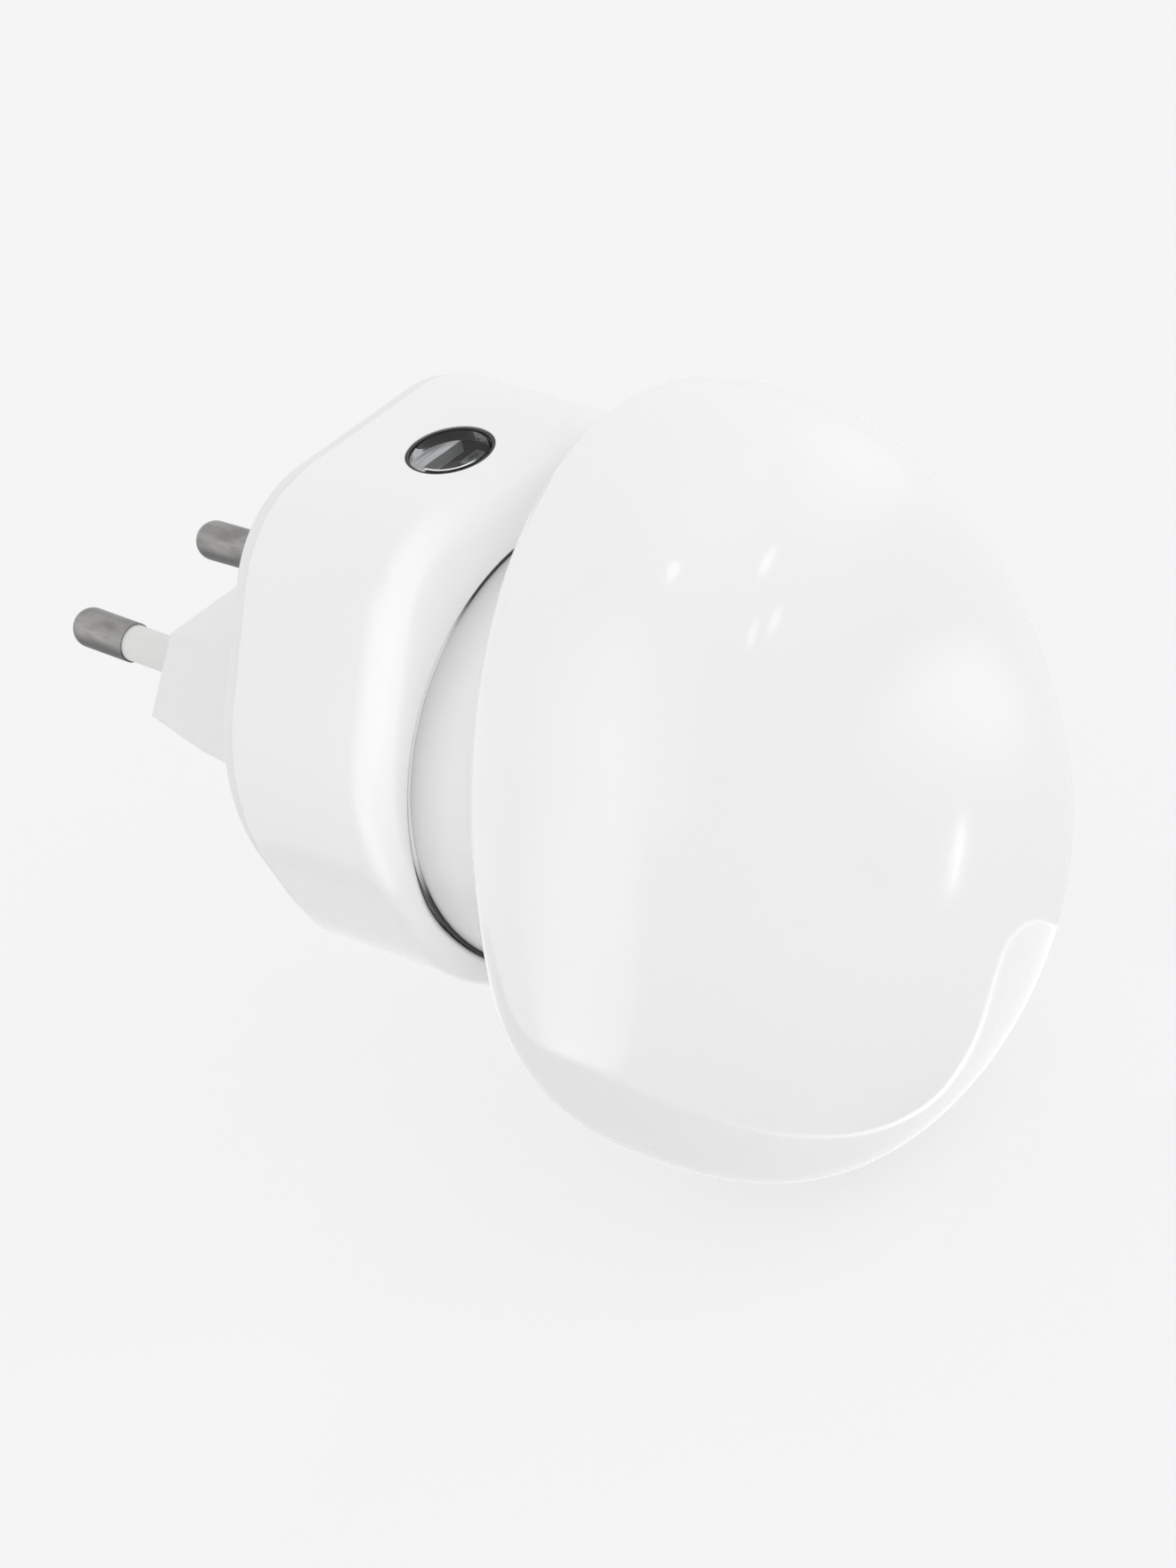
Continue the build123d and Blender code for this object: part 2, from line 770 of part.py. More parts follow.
with BuildPart() as head_back:
    add(outer_egg)
    split(bisect_by=seam_plane, keep=Keep.BOTTOM)
    with BuildSketch(at_station(neck_end)):
        with Locations((0, mouth_height)):
            Circle(neck_radius)
    extrude(amount=seam_station - neck_end)
    joins = head_back.edges().filter_by(lambda edge: edge.geom_type != GeomType.LINE)
    joins = joins.filter_by_position(Axis.Y, 0.5 - seam_station, -neck_end - 1)
    fillet(joins, neck_blend)

    add(spigot.part)
    add(rear_hollow.part, mode=Mode.SUBTRACT)
    add(spigot_bore_egg, mode=Mode.SUBTRACT)
    with BuildSketch(at_station(neck_end + neck_floor)):
        with Locations((0, mouth_height)):
            Circle(neck_radius - neck_wall)
    extrude(amount=seam_station - neck_end - neck_floor, mode=Mode.SUBTRACT)

    # Thrust land and journal behind the neck, lamp posts in front of its floor
    with BuildSketch(at_station(bulkhead_front)):
        with Locations((0, mouth_height)):
            Circle(thrust_land_radius)
    extrude(amount=thrust_land_height)
    with BuildSketch(at_station(ring_front)):
        with Locations((0, mouth_height)):
            Circle(journal_radius - journal_clearance)
    extrude(amount=bulkhead_front - ring_front)
    with BuildSketch(at_station(neck_end + neck_floor)):
        with Locations((0, mouth_height)):
            with PolarLocations(lamp_post_circle, lamp_post_count, start_angle=lamp_post_start):
                Circle(lamp_post_radius)
    extrude(amount=lamp_board_station - neck_end - neck_floor)

    # Bore for the lead, and pilot holes for the ring and lamp board screws
    with BuildSketch(at_station(ring_front)):
        with Locations((0, mouth_height)):
            Circle(journal_bore_radius)
    extrude(amount=neck_end + neck_floor - ring_front, mode=Mode.SUBTRACT)
    with BuildSketch(at_station(ring_front)):
        with Locations((0, mouth_height)):
            with PolarLocations(ring_screw_circle, ring_screw_count, start_angle=ring_screw_start):
                Circle(small_screw[0])
    extrude(amount=small_screw_length - ring_thickness, mode=Mode.SUBTRACT)
    with BuildSketch(at_station(lamp_board_station)):
        with Locations((0, mouth_height)):
            with PolarLocations(lamp_post_circle, lamp_post_count, start_angle=lamp_post_start):
                Circle(small_screw[0])
    extrude(amount=-small_screw_length, mode=Mode.SUBTRACT)

save(head_back.part, "head_back")

# ---------------------------------------------------------------------------
# Dome: the opal front of the egg
# ---------------------------------------------------------------------------

# The rim next to the seam is set in a little, which leaves a fine groove
groove_egg = egg_body(seam_groove)

with BuildPart(mode=Mode.PRIVATE) as dome_rim:
    add(groove_egg)
    split(bisect_by=seam_plane, keep=Keep.TOP)
    split(bisect_by=at_station(seam_station + seam_groove), keep=Keep.BOTTOM)

with BuildPart() as dome:
    add(outer_egg)
    split(bisect_by=at_station(seam_station + seam_groove), keep=Keep.TOP)
    add(dome_rim.part)
    add(inner_egg, mode=Mode.SUBTRACT)

save(dome.part, "dome")

# ---------------------------------------------------------------------------
# Wave washer, retaining ring with its stop lug, and the ring's screws
# ---------------------------------------------------------------------------

with BuildPart() as wave_washer:
    with BuildSketch(at_station(ring_front)):
        with Locations((0, mouth_height)):
            Circle(washer_outer_radius)
            Circle(journal_radius + washer_clearance, mode=Mode.SUBTRACT)
    extrude(amount=washer_thickness)
save(wave_washer.part, "wave_washer")

with BuildPart() as retaining_ring:
    with BuildSketch(at_station(ring_rear)):
        with Locations((0, mouth_height)):
            Circle(ring_radius)
        with BuildLine():
            lug_start = 90 - lug_half_angle
            lug_arc = CenterArc((0, mouth_height), lug_radius, lug_start, 2 * lug_half_angle)
            Line(lug_arc @ 0, (0, mouth_height))
            Line(lug_arc @ 1, (0, mouth_height))
        make_face()
        with Locations((0, mouth_height)):
            Circle(journal_bore_radius, mode=Mode.SUBTRACT)
            with PolarLocations(ring_screw_circle, ring_screw_count, start_angle=ring_screw_start):
                Circle(small_screw[0], mode=Mode.SUBTRACT)
    extrude(amount=ring_thickness)
save(retaining_ring.part, "retaining_ring")


def spots_on_circle(radius, count, start):
    """Points spaced evenly round the swivel axis, as (X, Z) pairs."""
    turns = [radians(start + 360 * index / count) for index in range(count)]
    return [(radius * cos(turn), mouth_height + radius * sin(turn)) for turn in turns]


ring_screw_spots = spots_on_circle(ring_screw_circle, ring_screw_count, ring_screw_start)
save(
    screws(ring_screw_spots, ring_rear, small_screw_length, small_screw, False),
    "ring_screws",
)

# ---------------------------------------------------------------------------
# Lamp board, light sources, reflector, screws and lead
# ---------------------------------------------------------------------------

lamp_post_spots = spots_on_circle(lamp_post_circle, lamp_post_count, lamp_post_start)
led_spots = spots_on_circle(led_circle, led_count, 0)
reflector_front = lamp_board_front + reflector_thickness

with BuildPart() as lamp_board:
    with BuildSketch(at_station(lamp_board_station)):
        with Locations((0, mouth_height)):
            Circle(lamp_board_radius)
        with Locations(*lamp_post_spots):
            Circle(small_screw[0], mode=Mode.SUBTRACT)
    extrude(amount=lamp_board_thickness)
save(lamp_board.part, "lamp_board")

for number, (x, z) in enumerate(led_spots, start=1):
    with BuildPart() as led:
        with BuildSketch(at_station(lamp_board_front)):
            with Locations((x, z)):
                RectangleRounded(led_size, led_size, 0.4)
        extrude(amount=led_height)
        with BuildSketch(at_station(lamp_board_front + led_height)):
            with Locations((x, z)):
                Circle(led_size * 0.38)
        extrude(amount=-0.3, mode=Mode.SUBTRACT)
    save(led.part, f"led_{number}")

with BuildPart() as reflector:
    with BuildSketch(at_station(lamp_board_front)):
        add(egg_outline(seam_share, dome_wall + reflector_clearance))
        with Locations(*led_spots):
            Circle(led_window_radius, mode=Mode.SUBTRACT)
        with Locations(*lamp_post_spots):
            Circle(small_screw[0], mode=Mode.SUBTRACT)
    extrude(amount=reflector_thickness)
save(reflector.part, "reflector")

lamp_screw_length = reflector_thickness + lamp_board_thickness + small_screw_length - 1
save(
    screws(lamp_post_spots, reflector_front, lamp_screw_length, small_screw, True),
    "lamp_board_screws",
)

with BuildPart() as lamp_lead:
    with BuildSketch(at_station(socket_front - lead_socket_depth)):
        with Locations((0, mouth_height)):
            Circle(lead_radius)
    extrude(amount=lamp_board_station - socket_front + lead_socket_depth)
save(lamp_lead.part, "lamp_lead")
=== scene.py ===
# %% [markdown]
# # A plug-in night light, dressed and lit
#
# The night light is made of a white housing with two plug pins at its back, a
# small round sensor window in its top, and an egg-shaped opal head in front.
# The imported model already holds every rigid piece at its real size. This file
# loads it, gives each piece its finish, adds two thin pieces that only show
# close up, and sets the camera and the light.

import json
import math

import bmesh
import bpy
from mathutils import Matrix, Vector


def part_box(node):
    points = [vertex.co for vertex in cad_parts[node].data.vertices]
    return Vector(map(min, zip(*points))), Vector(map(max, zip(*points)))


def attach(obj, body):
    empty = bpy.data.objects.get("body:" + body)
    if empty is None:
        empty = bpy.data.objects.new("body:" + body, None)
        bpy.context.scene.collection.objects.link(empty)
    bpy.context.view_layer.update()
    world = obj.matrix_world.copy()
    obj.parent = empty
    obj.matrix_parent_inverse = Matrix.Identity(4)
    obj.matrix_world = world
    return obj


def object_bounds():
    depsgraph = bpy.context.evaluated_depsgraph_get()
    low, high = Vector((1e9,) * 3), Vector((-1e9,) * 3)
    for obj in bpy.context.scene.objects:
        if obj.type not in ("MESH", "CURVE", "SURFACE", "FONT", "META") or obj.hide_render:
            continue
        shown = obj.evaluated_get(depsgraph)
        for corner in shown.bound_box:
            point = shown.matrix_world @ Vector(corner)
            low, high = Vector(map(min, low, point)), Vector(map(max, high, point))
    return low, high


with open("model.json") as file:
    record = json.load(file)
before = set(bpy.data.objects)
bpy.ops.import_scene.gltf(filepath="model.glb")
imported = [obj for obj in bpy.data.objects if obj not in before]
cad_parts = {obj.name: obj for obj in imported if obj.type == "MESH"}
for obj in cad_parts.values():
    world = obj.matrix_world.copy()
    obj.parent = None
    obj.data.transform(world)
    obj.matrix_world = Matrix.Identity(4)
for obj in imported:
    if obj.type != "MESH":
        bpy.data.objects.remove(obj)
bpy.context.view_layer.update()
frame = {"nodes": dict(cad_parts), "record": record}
nodes = frame["nodes"]

# %% [markdown]
# ## The camera
#
# The camera stands in front of the lamp, to its left and above it, and is
# turned a little about its own line of sight. It is far away with a long lens,
# as for a catalogue picture, so that the egg keeps its true outline. A
# constraint could aim it, but would lose the small turn, so its matrix is built
# from its own three axes. Azimuth 0 looks straight at the dome.

# %% Place the camera
MM = 0.001
CAMERA_AZIMUTH = -41.62
CAMERA_ELEVATION = 31.75
CAMERA_ROLL = -12.44
CAMERA_DISTANCE = 722.95 * MM
CAMERA_TARGET = Vector((8.21, -30.0, -15.05)) * MM
CAMERA_LENS = 172.52
SENSOR_WIDTH = 36.0
NEAREST_SEEN = 10.0 * MM


def direction(azimuth_degrees, elevation_degrees):
    """A unit vector towards a place round the lamp, azimuth 0 being in front."""
    a, e = math.radians(azimuth_degrees), math.radians(elevation_degrees)
    return Vector((math.sin(a) * math.cos(e), -math.cos(a) * math.cos(e), math.sin(e)))


azimuth = math.radians(CAMERA_AZIMUTH)
roll = math.radians(CAMERA_ROLL)
towards_camera = direction(CAMERA_AZIMUTH, CAMERA_ELEVATION)
level_right = Vector((math.cos(azimuth), math.sin(azimuth), 0.0))
level_up = towards_camera.cross(level_right)
camera_right = level_right * math.cos(roll) + level_up * math.sin(roll)
camera_up = level_up * math.cos(roll) - level_right * math.sin(roll)
camera_axes = Matrix((camera_right, camera_up, towards_camera)).transposed().to_4x4()
camera_place = CAMERA_TARGET + towards_camera * CAMERA_DISTANCE

camera_data = bpy.data.cameras.new("camera")
camera_data.lens = CAMERA_LENS
camera_data.sensor_width = SENSOR_WIDTH
camera_data.clip_start = NEAREST_SEEN
camera = bpy.data.objects.new("camera", camera_data)
bpy.context.scene.collection.objects.link(camera)
camera.matrix_world = Matrix.Translation(camera_place) @ camera_axes
bpy.context.scene.camera = camera
print("camera at", [round(v, 4) for v in camera.location])

# %% [markdown]
# ## Shader maths as plain Python
#
# A material is a small network of nodes. Writing it link by link is slow to
# read, so one class wraps an output socket and lets it be added, multiplied
# and compared as a number. The reflected forms, such as __radd__, are there so
# that a sum may also start with a plain number.

# %% The wire class


class Wire:
    """An output socket that can be used in sums."""

    def __init__(self, network, socket):
        self.network = network
        self.socket = socket

    def maths(self, operation, first, second):
        return self.network.node(
            "ShaderNodeMath", {"operation": operation}, Value=first, Value_001=second,
        )

    def __add__(self, other):
        return self.maths("ADD", self, other)

    def __radd__(self, other):
        return self.maths("ADD", other, self)

    def __sub__(self, other):
        return self.maths("SUBTRACT", self, other)

    def __rsub__(self, other):
        return self.maths("SUBTRACT", other, self)

    def __mul__(self, other):
        return self.maths("MULTIPLY", self, other)

    def __rmul__(self, other):
        return self.maths("MULTIPLY", other, self)

    def __pow__(self, other):
        return self.maths("POWER", self, other)

    def __rpow__(self, other):
        return self.maths("POWER", other, self)

    def above(self, limit):
        """1 above the limit and 0 below it."""
        return self.maths("GREATER_THAN", self, limit)

    def smooth(self, low, high):
        """0 at low and 1 at high, with a soft rise between them."""
        return self.network.node(
            "ShaderNodeMapRange", {"interpolation_type": "SMOOTHSTEP"}, out="Result",
            Value=self, From_Min=low, From_Max=high,
        )


print("wire ready")

# %% [markdown]
# ## Networks and finishes
#
# A network is the node tree of a material or of the world. Every node comes
# from its one method, node, which sets the node's settings first and then its
# sockets, from values or links. A finish is the network of a surface: it has
# the usual shader, and it knows where a point lies on the piece, so that a
# pattern stays put when the piece moves. Colours are four numbers, the last of
# them 1, so two short helpers write them.

# %% The network class


class Network:
    """A node tree, and one method that adds a node to it."""

    def __init__(self, owner):
        owner.use_nodes = True
        self.owner = owner
        self.tree = owner.node_tree
        self.tree.nodes.clear()

    def node(self, kind, settings=None, out=0, **sockets):
        node = self.tree.nodes.new(kind)
        for key, value in (settings or {}).items():
            setattr(node, key, value)
        for key, value in sockets.items():
            self.put(self.socket(node, key), value)
        return Wire(self, node.outputs[out]) if node.outputs else None

    def socket(self, node, key):
        """A node's input by its identifier, or the one in use with that name."""
        for socket in node.inputs:
            if socket.identifier == key:
                return socket
        name = key.replace("_", " ")
        return next(s for s in node.inputs if s.enabled and s.name == name)

    def put(self, socket, value):
        if isinstance(value, Wire):
            self.tree.links.new(value.socket, socket)
        else:
            socket.default_value = value

    def choose(self, share, first, second):
        """A shader that goes from the first to the second."""
        return self.node("ShaderNodeMixShader", Fac=share, Shader=first, Shader_001=second)

    def end(self, shader, kind="ShaderNodeOutputMaterial"):
        self.node(kind, Surface=shader)
        return self.owner


print("network ready")

# %% Colours and the finish class


def paint(red, green, blue, share=1.0):
    """A colour for a socket, or a darker one where the share is below 1."""
    return (red * share, green * share, blue * share, 1.0)


def grey(level):
    return paint(level, level, level)


WHITE = grey(1.0)
# A Mix node has an output for each kind of value, and its colour is the third.
COLOUR_OUTPUT = 2


class Finish(Network):
    """The network of a surface, with its shaders and its patterns."""

    def __init__(self, name):
        super().__init__(bpy.data.materials.new(name))

    def made_of(self, **sockets):
        return self.node("ShaderNodeBsdfPrincipled", **sockets)

    def solid(self, **sockets):
        return self.end(self.made_of(**sockets))

    def glow(self, strength):
        """White light of its own."""
        return self.node("ShaderNodeEmission", Color=WHITE, Strength=strength)

    def nothing(self):
        return self.node("ShaderNodeBsdfTransparent")

    def place(self):
        """Where a point lies on the object, in metres, the same at every pose."""
        return self.node("ShaderNodeTexCoord", out="Object")

    def along(self, axis):
        return self.node("ShaderNodeSeparateXYZ", out=axis, Vector=self.place())

    def noise(self, scale, detail=2.0, rough=0.5, at=None):
        """A cloudy value about 0.5, with about this many lumps in a metre."""
        return self.node(
            "ShaderNodeTexNoise", out="Fac",
            Vector=at or self.place(), Scale=scale, Detail=detail, Roughness=rough,
        )

    def streaks(self, x, y, z, detail=3.0, rough=0.6):
        """A noise with its own number of lumps in a metre along each axis."""
        stretched = self.node(
            "ShaderNodeVectorMath", {"operation": "MULTIPLY"},
            Vector=self.place(), Vector_001=(x, y, z),
        )
        return self.noise(1.0, detail, rough, at=stretched)

    def mix(self, share, first, second):
        return self.node(
            "ShaderNodeMix", {"data_type": "RGBA"}, out=COLOUR_OUTPUT,
            Factor=share, A=first, B=second,
        )

    def bump(self, height, distance):
        return self.node("ShaderNodeBump", out="Normal", Height=height, Distance=distance)


print("finish ready")

# %% [markdown]
# ## Satin white plastic
#
# The housing, the rear cover and the neck of the head come out of one grade of
# white plastic. The mould was spark-finished, so the surface has a very fine
# grain that blurs reflections a little, and slow waves where it cooled. Two
# noises give the grain and the waves, and a third moves the white by a hair.
# The housing's front edge is paler on its left: a painted highlight stands in
# for the light that the edge catches there, and the edge is also a little
# smoother. A painted mask could mark that place, but soft steps along the three
# axes need no picture. The neck's colour is darker where it goes into the
# mouth, a painted shade.

# %% Housing plastic
PLASTIC_IOR = 1.5
SATIN_GRAIN = 5200.0
# A painted highlight: this paler white goes on the housing's front edge in place of the light
# that it catches.
PAINTED_HIGHLIGHT_WHITE = paint(0.94, 0.94, 0.937)
front_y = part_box("housing")[0][1]


def painted_edge_highlight(finish):
    """1 where a highlight is painted, on the left of the housing's rounded front edge, and 0
    elsewhere.
    """
    y = finish.along("Y")
    rear_end = y.smooth(front_y + 3.8 * MM, front_y + 1.4 * MM)
    front_end = y.smooth(front_y + 0.1 * MM, front_y + 0.6 * MM)
    left = finish.along("X").smooth(-4.0 * MM, -16.0 * MM)
    upper = finish.along("Z").smooth(-22.0 * MM, -8.0 * MM)
    return rear_end * front_end * left * upper


def housing_plastic(name, white, gloss, painted_light_at=None):
    finish = Finish(name)
    painted_light = painted_light_at(finish) if painted_light_at else 0.0
    grain = finish.noise(SATIN_GRAIN, detail=2.0, rough=0.6)
    waves = finish.noise(55.0, detail=1.0, rough=0.4)
    cloud = finish.noise(28.0, detail=3.0, rough=0.55)
    plain = finish.mix(cloud.smooth(0.35, 0.7), paint(*white), paint(*white, share=0.985))
    return finish.solid(
        # The painted highlight goes onto the plain white here.
        Base_Color=finish.mix(painted_light, plain, PAINTED_HIGHLIGHT_WHITE),
        Roughness=gloss + 0.05 * grain + 0.04 * cloud - 0.04 * painted_light,
        Normal=finish.bump(0.25 * grain + waves, 0.018 * MM),
        IOR=PLASTIC_IOR,
    )


def neck_plastic():
    finish = Finish("neck_white")
    grain = finish.noise(SATIN_GRAIN, detail=2.0, rough=0.6)
    # Painted shade: the neck is coloured darker where it goes into the mouth, which shades it.
    out_of_painted_shade = finish.along("Y").smooth(front_y, front_y - 5.0 * MM)
    return finish.solid(
        Base_Color=finish.mix(
            out_of_painted_shade, paint(0.66, 0.66, 0.658), paint(0.77, 0.77, 0.768),
        ),
        Roughness=0.26 + 0.05 * grain,
        Normal=finish.bump(grain, 0.005 * MM),
        IOR=PLASTIC_IOR,
    )


body_white = housing_plastic("body_white", (0.865, 0.865, 0.862), 0.18, painted_edge_highlight)
# The rear cover takes a darker copy of the housing's white, a painted shade.
cover_white = housing_plastic("cover_white", (0.80, 0.80, 0.798), 0.26)
neck_white = neck_plastic()
print("made", body_white.name, cover_white.name, neck_white.name)

# %% [markdown]
# ## Opal dome
#
# The dome is polished opal plastic: milky all through, with a hard gloss. The
# gloss comes from a low roughness, which very fine dust changes a little, and
# some scattering under the surface takes the hardness out of its shadows. A
# slow cloud moves the white by a hair. It has no bump, because a bump would
# break up the long soft reflections that show how smooth the dome is.

# %% Dome plastic
OPAL_DEPTH = 2.0 * MM


def opal_plastic():
    finish = Finish("opal_white")
    cloud = finish.noise(38.0, detail=1.0, rough=0.4)
    dust = finish.noise(2600.0, detail=2.0, rough=0.5)
    return finish.solid(
        Base_Color=finish.mix(
            cloud.smooth(0.3, 0.75), paint(0.885, 0.885, 0.883), paint(0.872, 0.872, 0.870),
        ),
        Roughness=0.07 + 0.05 * dust,
        IOR=PLASTIC_IOR,
        Subsurface_Weight=0.12,
        Subsurface_Radius=(OPAL_DEPTH, OPAL_DEPTH, OPAL_DEPTH),
        Subsurface_Scale=1.0,
    )


opal_white = opal_plastic()
print("made", opal_white.name)

# %% [markdown]
# ## Pins and sleeves
#
# The bare ends of the pins are nickel-plated brass, dulled by handling: the
# grey is uneven, with faint scratches along the pin from going in and out of a
# socket. The underside is darker, a painted shade. A noise that is stretched
# along the pin gives such streaks without drawing them. The sleeves are plain
# moulded plastic with a soft sheen.

# %% Pin metal and sleeve plastic


def pin_metal():
    finish = Finish("pin_nickel")
    scratch = finish.streaks(2600.0, 160.0, 2600.0)
    stain = finish.streaks(900.0, 260.0, 900.0)
    top = finish.mix(
        stain.smooth(0.3, 0.75), paint(0.38, 0.375, 0.365), paint(0.26, 0.255, 0.25),
    )
    # Painted shade: the pin's underside is coloured darker.
    underside = finish.along("Z").smooth(0.9 * MM, -0.5 * MM)
    return finish.solid(
        Base_Color=finish.mix(0.8 * underside, top, grey(0.10)),
        Metallic=1.0,
        Roughness=0.34 + 0.14 * stain + 0.08 * scratch,
        Normal=finish.bump(scratch, 0.01 * MM),
    )


def sleeve_plastic():
    finish = Finish("sleeve_white")
    grain = finish.noise(3200.0, detail=2.0, rough=0.5)
    return finish.solid(
        Base_Color=finish.mix(
            grain.smooth(0.3, 0.8), paint(0.73, 0.73, 0.72), paint(0.70, 0.70, 0.69),
        ),
        Roughness=0.42 + 0.08 * grain,
        Normal=finish.bump(grain, 0.008 * MM),
    )


pin_nickel = pin_metal()
sleeve_white = sleeve_plastic()
print("made", pin_nickel.name, sleeve_white.name)

# %% [markdown]
# ## The sensor's window
#
# The window is a clear moulded disc with a very slight wave. A pale frosted
# strip on the front left of its rim is a painted highlight, in place of the
# glint of light on the rim. The strip could be a piece of its own, but it has no
# thickness, so the window's finish goes from clear to pale frosted between two
# radii. A low index keeps the disc's mirror image faint, so that the cup under
# it is seen.

# %% Window
WINDOW_IOR = 1.2
GLINT_INNER = 3.38 * MM
GLINT_OUTER = 3.6 * MM
# The way from the window's middle to the painted highlight, along X and Y.
GLINT_WAY = (-0.748, -0.664)
sensor_low, sensor_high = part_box("sensor_window")
sensor_axis = (sensor_low + sensor_high) / 2


def clear_window():
    finish = Finish("window_clear")
    waves = finish.noise(420.0, detail=1.0, rough=0.4)
    x, y = finish.along("X") - sensor_axis.x, finish.along("Y") - sensor_axis.y
    radius = (x ** 2.0 + y ** 2.0) ** 0.5
    front_left = (x * GLINT_WAY[0] + y * GLINT_WAY[1]).smooth(2.3 * MM, 2.9 * MM)
    # The painted highlight: a pale frosted arc on the rim's front left, in place of a glint.
    strip = radius.above(GLINT_INNER) * (1.0 - radius.above(GLINT_OUTER)) * front_left
    painted_glint = finish.made_of(Base_Color=grey(0.9), Roughness=0.4)
    clear = finish.made_of(
        Base_Color=paint(0.86, 0.88, 0.88),
        Roughness=0.02 + 0.02 * waves,
        Normal=finish.bump(waves, 0.006 * MM),
        Transmission_Weight=1.0,
        IOR=WINDOW_IOR,
    )
    return finish.end(finish.choose(strip, clear, painted_glint))


window_clear = clear_window()
print("made", window_clear.name, "round", [round(v, 4) for v in sensor_axis])

# %% [markdown]
# ## The sensor under its window
#
# Under the window lies a dark cup with a flat back wall and a small grey sensor
# chip, and a thin black rubber ring runs round the window. The cup is moulded
# in one piece, so one finish is dark on its floor and pale on the back wall.
# The pale is painted light, because the wall faces the light.

# %% Cup, chip and gasket
BACK_WALL_OFFSET = 2.55 * MM


def cup_plastic():
    finish = Finish("well_black")
    # Painted light: the back wall is coloured pale because it faces the light.
    lit_back_wall = finish.along("Y").above(sensor_axis.y + BACK_WALL_OFFSET)
    grain = finish.noise(1800.0, detail=2.0, rough=0.5)
    return finish.solid(
        Base_Color=finish.mix(lit_back_wall, grey(0.035), grey(0.75)),
        Roughness=0.45 + 0.2 * grain,
        Normal=finish.bump(grain, 0.02 * MM),
    )


def grained(name, scale, first, second, rough, rough_change):
    """A matt stuff whose grain goes between two colours."""
    finish = Finish(name)
    grain = finish.noise(scale, detail=2.0, rough=0.5)
    return finish.solid(
        Base_Color=finish.mix(grain, first, second),
        Roughness=rough + rough_change * grain,
        Normal=finish.bump(grain, 0.01 * MM),
    )


well_black = cup_plastic()
photocell_grey = grained(
    "photocell_grey", 2400.0, paint(0.22, 0.22, 0.23), paint(0.30, 0.30, 0.31), 0.35, 0.15,
)
gasket_black = grained("gasket_black", 2600.0, grey(0.020), grey(0.032), 0.42, 0.15)
print("made", well_black.name, photocell_grey.name, gasket_black.name)

# %% [markdown]
# ## Finishes of the pieces inside
#
# What is shut away inside still gets a true finish, because the lamp can be
# taken apart. Metals, lacquered boards, moulded chips and soft leads differ in
# colour, gloss and grain, so one function makes them all from a few values.

# %% Inside finishes


def inside_finish(name, colour, rough, metal, grain_scale, darkest=0.85):
    finish = Finish(name)
    grain = finish.noise(grain_scale, detail=3.0, rough=0.55)
    return finish.solid(
        Base_Color=finish.mix(
            grain.smooth(0.3, 0.75), paint(*colour), paint(*colour, share=darkest),
        ),
        Metallic=metal,
        Roughness=rough + 0.12 * grain,
        Normal=finish.bump(grain, 0.01 * MM),
    )


# Each row has the slot's name, the colour, the roughness, 1 for a metal, the
# grain's scale and, where it isn't the usual one, the darkest share.
INSIDE_FINISHES = (
    ("contact_bronze", (0.72, 0.50, 0.28), 0.28, 1.0, 1400.0),
    ("screw_steel", (0.60, 0.61, 0.62), 0.30, 1.0, 2400.0),
    ("washer_steel", (0.55, 0.55, 0.56), 0.25, 1.0, 700.0),
    ("lead_tin", (0.70, 0.70, 0.69), 0.32, 1.0, 2600.0),
    ("ring_nylon", (0.80, 0.79, 0.73), 0.45, 0.0, 800.0),
    ("board_green", (0.05, 0.22, 0.09), 0.35, 0.0, 1800.0),
    ("lamp_board_white", (0.82, 0.82, 0.80), 0.35, 0.0, 1800.0, 0.95),
    ("led_yellow", (0.90, 0.74, 0.22), 0.30, 0.0, 1200.0),
    ("reflector_white", (0.86, 0.86, 0.85), 0.30, 0.0, 600.0, 0.97),
    ("capacitor_red", (0.42, 0.06, 0.04), 0.25, 0.0, 600.0),
    ("capacitor_black", (0.05, 0.05, 0.06), 0.35, 0.0, 600.0),
    ("resistor_blue", (0.20, 0.36, 0.48), 0.40, 0.0, 1600.0),
    ("chip_black", (0.03, 0.03, 0.03), 0.50, 0.0, 3000.0),
    ("socket_white", (0.78, 0.76, 0.70), 0.45, 0.0, 900.0),
    ("lead_rubber", (0.78, 0.78, 0.77), 0.55, 0.0, 1500.0),
)

finish_of_slot = {
    "body_white": body_white,
    "opal_white": opal_white,
    "sleeve_white": sleeve_white,
    "pin_nickel": pin_nickel,
    "window_clear": window_clear,
    "well_black": well_black,
    "photocell_grey": photocell_grey,
    "gasket_black": gasket_black,
}
for row in INSIDE_FINISHES:
    finish_of_slot[row[0]] = inside_finish(*row)
print("finishes for", len(finish_of_slot), "slots")

# %% [markdown]
# ## Finishes go on the pieces
#
# The record says which slot each piece takes its finish from. Two pieces share
# the housing's slot but not its place in the light, the rear cover and the back
# of the head, so they get the finishes that were made for them: darker copies
# of its white, with their shade painted in.

# %% Give the finishes
finish_of_piece = {"rear_cover": cover_white, "head_back": neck_white}
slot_of_piece = {row["node"]: row["material_slot"] for row in frame["record"]["subparts"]}
for name, piece in nodes.items():
    wanted = finish_of_piece.get(name, finish_of_slot[slot_of_piece[name]])
    if not piece.material_slots:
        piece.data.materials.append(wanted)
    for slot in piece.material_slots:
        slot.material = wanted
print("finishes given to", len(nodes), "pieces")

# %% [markdown]
# ## A seal round the neck
#
# A thin felt seal closes the gap round the neck, so that no light leaks out of
# it. Its colour is dark where the gap is shaded, a painted shade, and pale at
# the side.
# A torus would be round in section, so the ring is built from quads, row by
# row, with the flat faces of a strip of felt.

# %% Neck seal
NECK_HEIGHT = -2.4 * MM
NECK_RADIUS = 21.85 * MM
SEAL_RADII = (NECK_RADIUS + 0.03 * MM, 22.19 * MM)
SEAL_DEPTHS = (0.55 * MM, 0.2 * MM)
